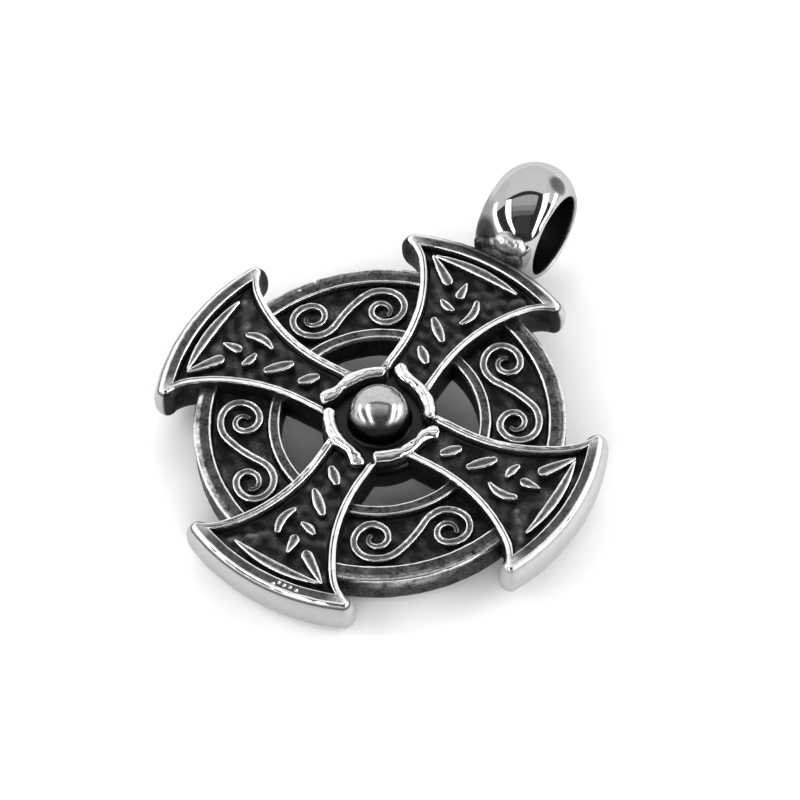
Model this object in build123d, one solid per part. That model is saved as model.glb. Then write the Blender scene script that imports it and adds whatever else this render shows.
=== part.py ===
from build123d import *
from math import asin, atan2, cos, degrees, hypot, pi, radians, sin, tan
import os

# Ringed cross pendant, one steel casting with a ring bail soldered to its top arm.
# It is modelled face up with the top of the arms' rims at height 0 and the bail along +Y,
# then laid down on its back as it lies by itself. Millimetres.

# Arms, measured from the centre of the cross. Half widths are to the outside of the rims.
arm_count = 4
arm_reach = 17.3
end_bow = 1.8
horn_length = 1.5
tip_half_width = 7.4
tip_round = 0.3
flare_half_width = 4.95
neck_reach = 6.0
neck_half_width = 2.2
thickness = 3.6
rim_edge = 0.2

# Pillow shape of the arms' walls: how far the end and tips, and the sides, stand out at each
# depth. Depths are shares of the thickness, the others shares of the greatest swell.
wall_swell = 0.7
WALL_COLUMNS = ("depth", "end", "sides")
WALL_ROWS = [
    (0.11, 0.57, 0.0),
    (0.28, 0.93, 0.0),
    (0.53, 1.0, 0.0),
    (0.78, 0.71, 0.0),
    (1.0, -0.07, -0.2),
]

# Sunk field of each arm inside its rim. Its outer corners stand off from the arm's tips.
side_rim_width = 0.65
end_rim_width = 1.0
corner_end_gap = 0.2
corner_side_gap = 1.75
arm_field_depth = 0.75
field_draft = 0.12

# Ring behind the arms.
ring_outer_radius = 14.45
ring_bore_radius = 7.75
outer_rim_width = 1.35
inner_rim_width = 0.9
ring_drop = 0.95
ring_field_depth = 0.7
ring_edge = 0.22

# Scrolls in the ring's field, one between each pair of arms. A scroll is a straight stem that
# runs out at both ends into arcs, each a radius as a share of the field's width and a sweep.
scroll_width = 0.66
scroll_height = 0.6
scroll_heading = 38.0
scroll_crown = 0.16
stem_share = 0.36
ARC_COLUMNS = ("radius", "sweep")
SCROLL_ARCS = [
    (0.528, 48.0),
    (0.382, 58.0),
    (0.319, 80.0),
    (0.319, 74.0),
    (0.202, 90.0),
    (0.180, 100.0),
]

# Hub: a sunk disc with a domed boss inside a pinwheel of four strands.
hub_field_radius = 4.2
hub_edge = 0.3
hub_field_depth = 0.95
boss_radius = 2.3
boss_rise = 2.15
strand_gap = 1.145
strand_width = 0.95
strand_rise = 0.3
strand_start = -66.0
strand_bend = -20.0
tail_overrun = 0.55
tail_side = 0.85
tail_width = 1.25
tail_length = 1.15

# Seeds in the arm's field, as curved drops between a first and a last centre.
# Places along the arm are shares of the arm's reach, places across it shares of the tip's
# half width, and the three half widths and the bow are shares of the neck's half width.
seed_height = 0.65
ridge_height = 0.3
seed_crown = 0.13
SEED_COLUMNS = ("along", "across", "to_along", "to_across", "first", "middle", "last", "bow", "tall")
SEEDS = [
    (0.353, -0.063, 0.396, 0.053, 0.149, 0.205, 0.149, 0.0, 1),
    (0.489, -0.070, 0.562, 0.124, 0.150, 0.235, 0.165, 0.0, 1),
    (0.612, -0.140, 0.738, -0.154, 0.095, 0.190, 0.140, -0.134, 1),
    (0.655, 0.035, 0.672, 0.180, 0.110, 0.185, 0.110, 0.03, 1),
    (0.742, 0.055, 0.808, 0.070, 0.215, 0.165, 0.065, 0.0, 1),
    (0.782, 0.270, 0.866, 0.560, 0.240, 0.190, 0.075, 0.0, 1),
    (0.877, -0.450, 0.875, 0.530, 0.065, 0.215, 0.065, -0.170, 1),
    (0.777, -0.256, 0.868, -0.530, 0.075, 0.120, 0.075, 0.0, 0),
]

# Bail, a rounded band bent to a ring, its hole along X, soldered to the top arm's end.
bail_hole_radius = 3.4
bail_wall = 1.75
bail_width = 5.56
bail_crown = 2.0
bail_lip = 0.24
bail_bite = 0.73
bail_depth = 1.5
solder_width = 4.2
solder_reach = 0.75
solder_crest = 0.3
solder_foot = 2.9
lump_radius = 1.4
lump_side = 0.6
lump_turn = 145.0
lump_stand = 0.35

# What follows from the sizes above.
quarter = 360.0 / arm_count
tip_reach = arm_reach - end_bow
flare_reach = tip_reach - horn_length
flare_slope = 2 * atan2(flare_half_width - neck_half_width, flare_reach - neck_reach)
tip_slope = 2 * atan2(tip_half_width - flare_half_width, horn_length) - flare_slope
bow_angle = 2 * atan2(end_bow, tip_half_width)
tip_corner = pi / 2 + bow_angle - tip_slope
corner_reach = tip_reach - corner_end_gap
corner_half_width = tip_half_width - corner_side_gap
foot_swell = wall_swell * dict(zip(WALL_COLUMNS, WALL_ROWS[-1]))["end"]
arm_floor = -arm_field_depth
ring_top = -ring_drop
ring_floor = ring_top - ring_field_depth
hub_floor = -hub_field_depth
ring_field_outer = ring_outer_radius - outer_rim_width
ring_field_inner = ring_bore_radius + inner_rim_width
ring_field_width = ring_field_outer - ring_field_inner
ring_field_middle = (ring_field_outer + ring_field_inner) / 2
scroll_stem = stem_share * ring_field_width
strand_radius = boss_radius + strand_gap + strand_width / 2
tail_reach = hub_field_radius + tail_overrun
bail_radius = bail_hole_radius + bail_wall
bail_centre_y = arm_reach + wall_swell + bail_radius - bail_bite

# How far raised work is rooted under the surface that it stands on.
root = 0.2


def closed(lines, height):
    """A closed wire of lines and arcs, lifted to a height."""
    return Pos(0, 0, height) * Wire([line.edge() for line in lines])


def other_side(arc):
    """The mirror image of an arc across the arm's middle, running back the other way."""
    return ThreePointArc(*[((arc @ share).X, -(arc @ share).Y) for share in (1, 0.5, 0)])


def tip_points(grow):
    """Three points round an arm's left tip, swollen by grow: where its side ends, the middle of
    its nose, and where the bowed end starts."""
    back = tip_round / tan(tip_corner / 2)
    side_x = tip_reach - back * cos(tip_slope)
    side_y = tip_half_width - back * sin(tip_slope)
    end_x = tip_reach + back * sin(bow_angle)
    end_y = tip_half_width - back * cos(bow_angle)
    nose_x = side_x + tip_round * sin(tip_slope)
    nose_y = side_y - tip_round * cos(tip_slope)
    nose_angle = (tip_slope + pi / 2 + bow_angle) / 2
    nose = tip_round + grow
    return [
        (side_x - grow * sin(tip_slope), side_y + grow * cos(tip_slope)),
        (nose_x + nose * cos(nose_angle), nose_y + nose * sin(nose_angle)),
        (end_x + grow * cos(bow_angle), end_y + grow * sin(bow_angle)),
    ]


def waist_lines(out):
    """The neck and the waist of an arm's left side, moved out sideways."""
    neck = (neck_reach, neck_half_width + out)
    flare = (flare_reach - out * sin(flare_slope), flare_half_width + out * cos(flare_slope))
    return Line((0, neck[1]), neck), TangentArc(neck, flare, tangent=(1, 0))


def whole_arm(half, reach, height):
    """Closed outline of an arm from the lines of its left side, with a bowed end."""
    end = half[-1] @ 1
    bow = ThreePointArc((end.X, end.Y), (reach, 0), (end.X, -end.Y))
    back = [other_side(line) for line in reversed(half[1:])]
    neck = half[0] @ 1
    start = half[0] @ 0
    last = Line((neck.X, -neck.Y), (start.X, -start.Y))
    lines = [*half, bow, *back, last, Line((start.X, -start.Y), (start.X, start.Y))]
    return closed(lines, height)


def wall_wire(grow, out, height):
    """Outline of an arm's wall at a height, its end and tips swollen and its sides moved out."""
    neck, waist = waist_lines(out)
    side_end, nose, bow_start = tip_points(grow)
    horn = TangentArc(waist @ 1, side_end, tangent=waist % 1)
    tip = ThreePointArc(side_end, nose, bow_start)
    return whole_arm([neck, waist, horn, tip], arm_reach + grow, height)


def pocket_wire(grow, height):
    """Outline of an arm's sunk field at a height, with sharp outer corners."""
    neck, waist = waist_lines(grow - side_rim_width)
    horn = TangentArc(waist @ 1, (corner_reach, corner_half_width + grow), tangent=waist % 1)
    return whole_arm([neck, waist, horn], arm_reach - end_rim_width + grow, height)


def seed_wire(row, grow, height):
    """Closed outline of one seed: two bowed sides and two round ends."""
    seed = dict(zip(SEED_COLUMNS, row))
    x1 = seed["along"] * arm_reach
    y1 = seed["across"] * tip_half_width
    x2 = seed["to_along"] * arm_reach
    y2 = seed["to_across"] * tip_half_width
    length = hypot(x2 - x1, y2 - y1)
    ux = (x2 - x1) / length
    uy = (y2 - y1) / length
    first = seed["first"] * neck_half_width + grow
    middle = seed["middle"] * neck_half_width + grow
    last = seed["last"] * neck_half_width + grow
    bow = seed["bow"] * neck_half_width
    xm = (x1 + x2) / 2
    ym = (y1 + y2) / 2
    head_left = (x1 - uy * first, y1 + ux * first)
    head_right = (x1 + uy * first, y1 - ux * first)
    tail_left = (x2 - uy * last, y2 + ux * last)
    tail_right = (x2 + uy * last, y2 - ux * last)
    mid_left = (xm - uy * (bow + middle), ym + ux * (bow + middle))
    mid_right = (xm - uy * (bow - middle), ym + ux * (bow - middle))
    lines = [
        ThreePointArc(head_left, mid_left, tail_left),
        ThreePointArc(tail_left, (x2 + ux * last, y2 + uy * last), tail_right),
        ThreePointArc(tail_right, mid_right, head_right),
        ThreePointArc(head_right, (x1 - ux * first, y1 - uy * first), head_left),
    ]
    return closed(lines, height)


def seed_solid(row):
    """One raised seed standing in the arm's field, its top edge rounded off."""
    tall = dict(zip(SEED_COLUMNS, row))["tall"]
    top = arm_floor + (seed_height if tall else ridge_height)
    crown = min(seed_crown, (top - arm_floor) / 2)
    sections = [
        seed_wire(row, 0.0, arm_floor - root),
        seed_wire(row, 0.0, top - crown),
        seed_wire(row, -crown, top),
    ]
    return loft([Face(wire) for wire in sections], ruled=True)


def arm_solid():
    """One arm with its sunk field and its seeds, pointing along +X."""
    walls = [wall_wire(0.0, 0.0, -rim_edge)]
    for row in WALL_ROWS:
        wall = dict(zip(WALL_COLUMNS, row))
        swell = wall["end"] * wall_swell
        walls.append(wall_wire(swell, wall["sides"] * wall_swell, -wall["depth"] * thickness))
    blank = loft([Face(wire) for wire in walls])
    edge_sections = [wall_wire(0.0, 0.0, -rim_edge), wall_wire(-rim_edge, -rim_edge, 0.0)]
    blank = blank.fuse(loft([Face(wire) for wire in edge_sections], ruled=True))
    pocket_sections = [pocket_wire(-field_draft, arm_floor), pocket_wire(field_draft, root)]
    pocket = loft([Face(wire) for wire in pocket_sections], ruled=True)
    seeds = [seed_solid(row) for row in SEEDS]
    return (blank - pocket).fuse(*seeds)


def ring_solid():
    """The ring, turned from one profile: flat back, two rims and a sunk field between them."""
    inner_rim = ring_field_inner
    outer_rim = ring_field_outer
    profile = [
        (ring_bore_radius, -thickness),
        (ring_outer_radius - ring_edge, -thickness),
        (ring_outer_radius, -thickness + ring_edge),
        (ring_outer_radius, ring_top - 2 * ring_edge),
        (ring_outer_radius - 2 * ring_edge, ring_top),
        (outer_rim + ring_edge / 2, ring_top),
        (outer_rim, ring_top - ring_edge / 2),
        (outer_rim - field_draft, ring_floor),
        (inner_rim + field_draft, ring_floor),
        (inner_rim, ring_top - ring_edge / 2),
        (inner_rim - ring_edge / 2, ring_top),
        (ring_bore_radius + ring_edge, ring_top),
        (ring_bore_radius, ring_top - ring_edge),
    ]
    face = make_face(Plane.XZ * Polyline(*profile, close=True))
    return revolve(face, Axis.Z, 360)


def scroll_half(shift):
    """Arcs of one half of the scroll's edge, shifted sideways from its centre line.
    Each arc is its start, middle and end, in a flat frame with the stem's middle at the origin."""
    heading = radians(-scroll_heading)
    x = scroll_stem * cos(heading)
    y = scroll_stem * sin(heading)
    arcs = []
    for row in SCROLL_ARCS:
        arc = dict(zip(ARC_COLUMNS, row))
        radius = arc["radius"] * ring_field_width
        turn = radians(arc["sweep"])
        centre_x = x - radius * sin(heading)
        centre_y = y + radius * cos(heading)
        points = []
        for share in (0.0, 0.5, 1.0):
            angle = heading - pi / 2 + turn * share
            reach = radius + shift
            points.append((centre_x + reach * cos(angle), centre_y + reach * sin(angle)))
        heading += turn
        x = centre_x + radius * cos(heading - pi / 2)
        y = centre_y + radius * sin(heading - pi / 2)
        arcs.append(points)
    return arcs


def bent(point):
    """A point of the scroll's flat frame, bent round the middle of the ring's field."""
    angle = radians(quarter / 2) + point[0] / ring_field_middle
    reach = ring_field_middle + point[1]
    return (reach * cos(angle), reach * sin(angle))


def scroll_wire(width, height):
    """Closed outline of a scroll: both halves' edges, joined along the stem and round the ends."""
    half = width / 2
    outer = scroll_half(half)
    inner = scroll_half(-half)
    chain = [outer, [list(reversed(points)) for points in reversed(inner)]]
    ring = []
    for sign in (1, -1):
        for arcs in chain:
            ring.append([[(sign * px, sign * py) for px, py in points] for points in arcs])
    lines = []
    for number, arcs in enumerate(ring):
        for points in arcs:
            lines.append(ThreePointArc(*[bent(point) for point in points]))
        following = ring[(number + 1) % len(ring)]
        lines.append(Line(bent(arcs[-1][-1]), bent(following[0][0])))
    return closed(lines, height)


def scroll_solid():
    """One raised scroll standing on the ring's field."""
    top = ring_floor + scroll_height
    sections = [
        scroll_wire(scroll_width, ring_floor - root),
        scroll_wire(scroll_width, top - scroll_crown),
        scroll_wire(scroll_width - 2 * scroll_crown, top),
    ]
    return loft([Face(wire) for wire in sections], ruled=True)


def strand_solid():
    """One strand of the pinwheel: a rounded bead bent round the boss, with a blunt spread tail."""
    start = (
        strand_radius * cos(radians(strand_start)),
        strand_radius * sin(radians(strand_start)),
    )
    middle_angle = radians((strand_start + strand_bend) / 2)
    middle = (strand_radius * cos(middle_angle), strand_radius * sin(middle_angle))
    bend = (
        strand_radius * cos(radians(strand_bend)),
        strand_radius * sin(radians(strand_bend)),
    )
    round_part = ThreePointArc(start, middle, bend)
    tail_part = TangentArc(bend, (tail_reach, tail_side), tangent=round_part % 1)
    path = Wire([round_part.edge(), tail_part.edge()])
    half = strand_width / 2
    shoulder = strand_rise - half
    low = hub_floor - root
    across = path % 0
    frame = Plane(origin=(start[0], start[1], 0), x_dir=Vector(across.Y, -across.X, 0), z_dir=across)
    section = [
        Line((-half, low), (-half, shoulder)),
        ThreePointArc((-half, shoulder), (0, strand_rise), (half, shoulder)),
        Line((half, shoulder), (half, low)),
        Line((half, low), (-half, low)),
    ]
    bead = sweep(frame * make_face(section), path=path)
    tail_frame = Plane(origin=(0, 0, low), x_dir=(1, 0, 0), z_dir=(0, 0, 1))
    tail_direction = path % 1
    tail_turn = degrees(atan2(tail_direction.Y, tail_direction.X))
    place = Pos(tail_reach, tail_side, 0) * Rot(0, 0, tail_turn)
    foot = tail_frame * place * Ellipse(tail_length / 2, tail_width / 2)
    tail = extrude(foot, amount=shoulder - low)
    return bead.fuse(tail)


def hub_solid():
    """The hub's disc with its domed boss, under the pinwheel."""
    disc = Pos(0, 0, -thickness) * Cylinder(
        hub_field_radius + hub_edge, thickness + hub_floor, align=(Align.CENTER, Align.CENTER, Align.MIN)
    )
    dome = Pos(0, 0, boss_rise - boss_radius) * Sphere(boss_radius)
    return disc.fuse(dome)


def bail_solid():
    """The bail: a band with a rounded outside, turned about the hole's axis."""
    middle = bail_radius - bail_crown
    rise = asin((bail_hole_radius + bail_lip - middle) / bail_crown)
    crown = EllipticalCenterArc(
        (0, middle), bail_width / 2, bail_crown, start_angle=degrees(rise), arc_size=180 - 2 * degrees(rise)
    )
    right = crown @ 0
    mouth = right.X - bail_lip
    section = [
        Line((-mouth, bail_hole_radius), (mouth, bail_hole_radius)),
        Line((mouth, bail_hole_radius), (right.X, right.Y)),
        crown,
        Line((-right.X, right.Y), (-mouth, bail_hole_radius)),
    ]
    band = revolve(make_face(section), Axis.X, 360)
    return Pos(0, bail_centre_y, -bail_depth) * band


def solder_solid():
    """The bead of solder that fills the joint between the top arm's end and the bail, with the
    lump that ran up the bail."""
    inner = arm_reach - end_rim_width / 2
    outer = arm_reach + wall_swell + solder_reach
    rounding = solder_reach / 2
    section = [
        (inner, -solder_crest - rim_edge),
        (arm_reach, solder_crest / 2),
        (outer - rounding, solder_crest),
        (outer, -bail_depth),
        (outer - rounding, -solder_foot),
        (inner, -solder_foot),
    ]
    face = make_face(Plane.YZ * Polyline(*section, close=True))
    bead = extrude(face, amount=solder_width / 2, both=True)
    reach = bail_radius + lump_stand - lump_radius
    lump_y = bail_centre_y + reach * cos(radians(lump_turn))
    lump_z = -bail_depth + reach * sin(radians(lump_turn))
    return bead.fuse(Pos(lump_side, lump_y, lump_z) * Sphere(lump_radius))


def lying_angle():
    """How far the bail's back lifts the pendant's top: the slope of the line that touches the
    bail and the foot of the bottom arm from below."""
    foot_y = -(arm_reach + foot_swell)
    run = bail_centre_y - foot_y
    rise = -bail_depth - -thickness
    return degrees(asin(bail_radius / hypot(run, rise)) - atan2(rise, run))


def pendant_solid():
    """Everything as one casting: ring, hub, arms, relief, and the soldered bail."""
    arm = arm_solid()
    scroll = scroll_solid()
    strand = strand_solid()
    hub_field = Pos(0, 0, hub_floor) * Cylinder(
        hub_field_radius, thickness, align=(Align.CENTER, Align.CENTER, Align.MIN)
    )
    turns = [Rot(0, 0, quarter * number) for number in range(arm_count)]
    body = ring_solid().fuse(*[turn * arm for turn in turns])
    body = body - hub_field
    relief = [turn * scroll for turn in turns] + [turn * strand for turn in turns]
    return body.fuse(hub_solid(), solder_solid(), *relief).fuse(bail_solid())


bail_bore = Pos(0, bail_centre_y, -bail_depth) * Rot(0, 90, 0) * Cylinder(bail_hole_radius, 2 * bail_width)
pendant = Rot(lying_angle(), 0, 0) * (pendant_solid() - bail_bore)
box = pendant.bounding_box()
pendant = Pos(-(box.min.X + box.max.X) / 2, -(box.min.Y + box.max.Y) / 2, -box.min.Z) * pendant
pendant.label = "pendant"

os.makedirs("parts", exist_ok=True)
export_step(pendant, "parts/pendant.step")
final = pendant.bounding_box()
print("size", final.size, "volume", pendant.volume, "solids", len(pendant.solids()))
print("lying angle", lying_angle(), "bail centre", bail_centre_y)
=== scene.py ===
from math import asin, atan2, cos, hypot, pi, radians, sin, sqrt, tan

import bmesh
import bpy
import numpy as np
from mathutils import Matrix, Vector


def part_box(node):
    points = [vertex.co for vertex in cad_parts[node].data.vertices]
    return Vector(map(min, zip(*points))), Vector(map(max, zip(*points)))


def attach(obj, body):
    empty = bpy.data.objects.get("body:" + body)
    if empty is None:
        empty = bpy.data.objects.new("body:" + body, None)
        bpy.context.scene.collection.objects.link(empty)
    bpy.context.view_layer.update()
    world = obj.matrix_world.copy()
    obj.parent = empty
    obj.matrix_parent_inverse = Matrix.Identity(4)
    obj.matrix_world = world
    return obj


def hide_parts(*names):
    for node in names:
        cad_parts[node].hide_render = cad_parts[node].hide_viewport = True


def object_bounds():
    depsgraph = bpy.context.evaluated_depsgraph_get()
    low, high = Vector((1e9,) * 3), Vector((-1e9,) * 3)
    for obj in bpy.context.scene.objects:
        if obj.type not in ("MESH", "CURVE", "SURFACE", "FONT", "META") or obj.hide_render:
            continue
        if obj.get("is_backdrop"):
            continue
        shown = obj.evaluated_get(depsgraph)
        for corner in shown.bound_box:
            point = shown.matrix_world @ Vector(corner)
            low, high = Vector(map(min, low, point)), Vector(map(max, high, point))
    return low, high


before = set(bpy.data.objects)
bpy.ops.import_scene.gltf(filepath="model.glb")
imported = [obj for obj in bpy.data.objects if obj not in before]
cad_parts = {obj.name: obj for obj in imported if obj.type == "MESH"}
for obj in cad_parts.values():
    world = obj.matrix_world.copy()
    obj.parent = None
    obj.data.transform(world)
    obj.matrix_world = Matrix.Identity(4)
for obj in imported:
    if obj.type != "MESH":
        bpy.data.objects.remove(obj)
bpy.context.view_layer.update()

# How the pendant lies: face up on its back, its top lifted by the ring bail, which is thicker
# than the casting. Every piece is shaped level, with the top of the arms' rims at height 0 and
# the bail along +Y, and is then laid down as one.
mm = 0.001
thickness = 3.6 * mm
arm_reach = 17.3 * mm
wall_swell = 0.7 * mm
foot_swell = -0.07 * wall_swell
bail_hole_radius = 3.4 * mm
bail_wall = 1.75 * mm
bail_depth = 1.5 * mm
bail_bite = 0.73 * mm
bail_radius = bail_hole_radius + bail_wall
bail_centre = np.array([0, arm_reach + wall_swell + bail_radius - bail_bite, -bail_depth])
heel = np.array([0, -(arm_reach + foot_swell), -thickness])
span = bail_centre - heel
lying_angle = asin(bail_radius / hypot(span[1], span[2])) - atan2(span[2], span[1])
bail_rest = np.array([0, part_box("pendant")[1][1] - bail_radius, bail_radius])
lying_turn = np.array(Matrix.Rotation(lying_angle, 3, "X"))


def laid(points):
    """Level points, turned and moved to where the pendant lies."""
    return (np.asarray(points) - bail_centre) @ lying_turn.T + bail_rest


def turned_about(points, angle):
    """Points turned about the middle of the cross."""
    return np.asarray(points) @ np.array(Matrix.Rotation(angle, 3, "Z")).T


# Ring of the cross: cast in one with the arms, in stainless steel. Two low rims stand beside a
# sunk field, all blackened in a bath and then tumbled, so the edges are bright again and the
# sunk field stays black.
ring_outer_radius = 14.45 * mm
ring_bore_radius = 7.75 * mm
outer_rim_width = 1.35 * mm
inner_rim_width = 0.9 * mm
ring_drop = 0.95 * mm
ring_field_depth = 0.7 * mm
ring_field_outer = ring_outer_radius - outer_rim_width
ring_field_inner = ring_bore_radius + inner_rim_width
ring_field_width = ring_field_outer - ring_field_inner
ring_top = -ring_drop
ring_floor = ring_top - ring_field_depth
ring_edge = 0.2 * mm
ring_foot = 0.2 * mm
rim_lip = 0.13 * mm
rim_hollow = 0.03 * mm
bore_lip = 0.5 * mm
floor_fillet = 0.16 * mm
wall_lean = 0.03 * mm
back_step = 0.04 * mm
ring_back = -thickness + back_step
ring_steps = 720


def unevenness(points, grain, seed):
    """Smooth unevenness of about -1 to 1 at each point, in waves about one grain long."""
    random = np.random.default_rng(seed)
    waves = 14
    slowest, fastest = 0.6, 1.7
    total = np.zeros(points.shape[:-1])
    for _ in range(waves):
        direction = random.normal(size=3)
        direction /= np.linalg.norm(direction)
        pace = random.uniform(slowest, fastest) * 2 * pi / grain
        total += np.sin(points @ direction * pace + random.uniform(0, 2 * pi))
    return total / sqrt(waves)


def paint(mesh, name, values):
    """Gives each point of a mesh a value that its material reads by name."""
    mesh.attributes.new(name, "FLOAT", "POINT").data.foreach_set("value", values)


def shell(
    name, loops, polish, round_loops=True, joined_ends=False, extra=(), flat_first=False, matt=0.0
):
    """A closed mesh from loops of points, each loop joined to the next by quads. Extra patches
    of points in rows are welded on where they share edges, and a flat first loop may be filled.
    The polish of each point goes with it, and how matt it was left."""
    points, finish, dulled, faces = [], [], [], []
    patches = [(loops, polish, matt, round_loops, joined_ends)]
    patches += [(*patch, 0.0, False, False) for patch in extra]
    start = 0
    for rows, shine, dull, wrap, closed in patches:
        rows = np.asarray(rows)
        count, width = rows.shape[:2]
        points.append(rows.reshape(-1, 3))
        finish.append(np.broadcast_to(shine, (count, width)).reshape(-1))
        dulled.append(np.broadcast_to(dull, (count, width)).reshape(-1))
        row = np.arange(count if closed else count - 1)[:, None]
        column = np.arange(width if wrap else width - 1)[None, :]
        next_row = (row + 1) % count
        next_column = (column + 1) % width
        corners = [row * width + column, row * width + next_column]
        corners += [next_row * width + next_column, next_row * width + column]
        faces += (np.stack(np.broadcast_arrays(*corners), -1).reshape(-1, 4) + start).tolist()
        start += count * width
    if flat_first:
        faces.append(list(range(len(loops[0]))))
    mesh = bpy.data.meshes.new(name)
    mesh.from_pydata(laid(np.concatenate(points)), [], faces)
    paint(mesh, "polish", np.concatenate(finish))
    paint(mesh, "matt", np.concatenate(dulled))
    work = bmesh.new()
    work.from_mesh(mesh)
    bmesh.ops.remove_doubles(work, verts=work.verts, dist=0.0005 * mm)
    bmesh.ops.dissolve_degenerate(work, edges=work.edges, dist=0.0002 * mm)
    bmesh.ops.holes_fill(work, edges=work.edges, sides=0)
    bmesh.ops.recalc_face_normals(work, faces=work.faces)
    return smooth_piece(name, work, mesh)


def smooth_piece(name, work, mesh):
    """The finished mesh as a smooth-shaded piece in the scene."""
    for face in work.faces:
        face.smooth = True
    work.to_mesh(mesh)
    work.free()
    piece = bpy.data.objects.new(name, mesh)
    bpy.context.collection.objects.link(piece)
    return piece


def patchwork(points, mean, swing, grain, seed, most=1.0):
    """Patches of polish that swing about a mean, from 0 to the most said."""
    return np.clip(mean + swing * unevenness(points, grain, seed), 0, most)


def roughed(piece, depth, grain, seed):
    """Moves the piece's surface in and out a little along its normals, as hand finishing does."""
    count = len(piece.data.vertices)
    points = np.empty(count * 3)
    normals = np.empty(count * 3)
    piece.data.vertices.foreach_get("co", points)
    piece.data.vertices.foreach_get("normal", normals)
    points = points.reshape(-1, 3)
    move = depth * unevenness(points, grain, seed)
    points += normals.reshape(-1, 3) * move[:, None]
    piece.data.vertices.foreach_set("co", points.reshape(-1))
    piece.data.update()


def quarter_round(radius, steps):
    """Sideways and upward shares of a rounded edge, from its side to its top."""
    angles = np.linspace(0, pi / 2, steps)
    return [(radius * (cos(angle) - 1), radius * (sin(angle) - 1)) for angle in angles]


def number_group(name, inputs, output):
    """A shader node group of plain numbers: the group, its inputs, its output and the place
    on the piece that it works at."""
    group = bpy.data.node_groups.new(name, "ShaderNodeTree")
    new_socket = group.interface.new_socket
    for label, value in inputs.items():
        socket = new_socket(name=label, in_out="INPUT", socket_type="NodeSocketFloat")
        socket.default_value = value
    new_socket(name=output, in_out="OUTPUT", socket_type="NodeSocketFloat")
    entry = group.nodes.new("NodeGroupInput")
    leave = group.nodes.new("NodeGroupOutput")
    place = group.nodes.new("ShaderNodeTexCoord")
    return group, entry.outputs, leave.inputs[output], place.outputs["Object"]


def added(tree, kind, inputs, **settings):
    """The outputs of a new node, fed by other nodes' outputs or by plain values."""
    node = tree.nodes.new(kind)
    for name, value in settings.items():
        setattr(node, name, value)
    for name, value in inputs.items():
        if isinstance(value, bpy.types.NodeSocket):
            tree.links.new(value, node.inputs[name])
        else:
            node.inputs[name].default_value = value
    return node.outputs


def maths(tree, operation, first, second):
    """The result of a maths node."""
    return added(tree, "ShaderNodeMath", {0: first, 1: second}, operation=operation)[0]


def swings(tree, place, scale, detail, roughness, strength):
    """Cloudy noise as swings below and above zero, as strong as the strength says."""
    middle = 0.5
    stretch = 6.0
    clouds = {"Vector": place, "Scale": scale, "Detail": detail, "Roughness": roughness}
    noise = added(tree, "ShaderNodeTexNoise", clouds)["Fac"]
    swing = maths(tree, "MULTIPLY", maths(tree, "SUBTRACT", noise, middle), stretch)
    return maths(tree, "MULTIPLY", swing, strength)


# Tumbled finish: how bright each spot was rubbed, from its polish, with cloudy patches and fine
# speckles. They fade out where the metal was rubbed bright all over or was left matt.
tumbled, entry, leave, place = number_group(
    "tumbled_finish",
    {"Polish": 0.5, "Matt": 0.0, "Patch Scale": 1500.0, "Patchiness": 0.4, "Speckle": 0.2},
    "Shine",
)
speckle_fineness = 5.0
patch_limit = 1.2
matt_calm = 2.5
least_patching = 0.06
coarse = {"scale": entry["Patch Scale"], "detail": 5.0, "roughness": 0.65}
fine = {
    "scale": maths(tumbled, "MULTIPLY", entry["Patch Scale"], speckle_fineness),
    "detail": 3.0,
    "roughness": 0.5,
}
patches = swings(tumbled, place, **coarse, strength=entry["Patchiness"])
speckles = swings(tumbled, place, **fine, strength=entry["Speckle"])
calmed = maths(tumbled, "MULTIPLY", entry["Matt"], matt_calm)
room_left = maths(tumbled, "SUBTRACT", patch_limit, entry["Polish"])
room_left = maths(tumbled, "SUBTRACT", room_left, calmed)
room_left = maths(tumbled, "MAXIMUM", room_left, least_patching)
mixed = maths(tumbled, "MULTIPLY", maths(tumbled, "ADD", patches, speckles), room_left)
shine = maths(tumbled, "MULTIPLY", maths(tumbled, "ADD", mixed, 1.0), entry["Polish"])
tumbled.links.new(added(tumbled, "ShaderNodeClamp", {"Value": shine})["Result"], leave)

# Cast grain: the fine pits and soft ripples of the mould's skin, as a height.
grain_inputs = {"Grain Scale": 6000.0, "Pits": 0.5}
grain, entry, leave, place = number_group("cast_grain", grain_inputs, "Height")
ripple_detail = 4.0
pit_coarseness = 0.5
pit_reach = 0.3
skin = {"Vector": place, "Scale": entry["Grain Scale"], "Detail": ripple_detail}
ripples = added(grain, "ShaderNodeTexNoise", skin)["Fac"]
pit_scale = maths(grain, "MULTIPLY", entry["Grain Scale"], pit_coarseness)
pit_cells = {"Vector": place, "Scale": pit_scale}
to_pit = added(grain, "ShaderNodeTexVoronoi", pit_cells, feature="F1")["Distance"]
pit_slopes = added(grain, "ShaderNodeMapRange", {"Value": to_pit, "From Max": pit_reach})["Result"]
pit_height = maths(grain, "MULTIPLY", pit_slopes, entry["Pits"])
grain.links.new(maths(grain, "ADD", ripples, pit_height), leave)

grain_height = 0.02 * mm
edge_tint = (0.7, 0.7, 0.7, 1)
bright_steel = (0.92, 0.92, 0.92)
oxide_black = (0.017, 0.017, 0.018)


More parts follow.
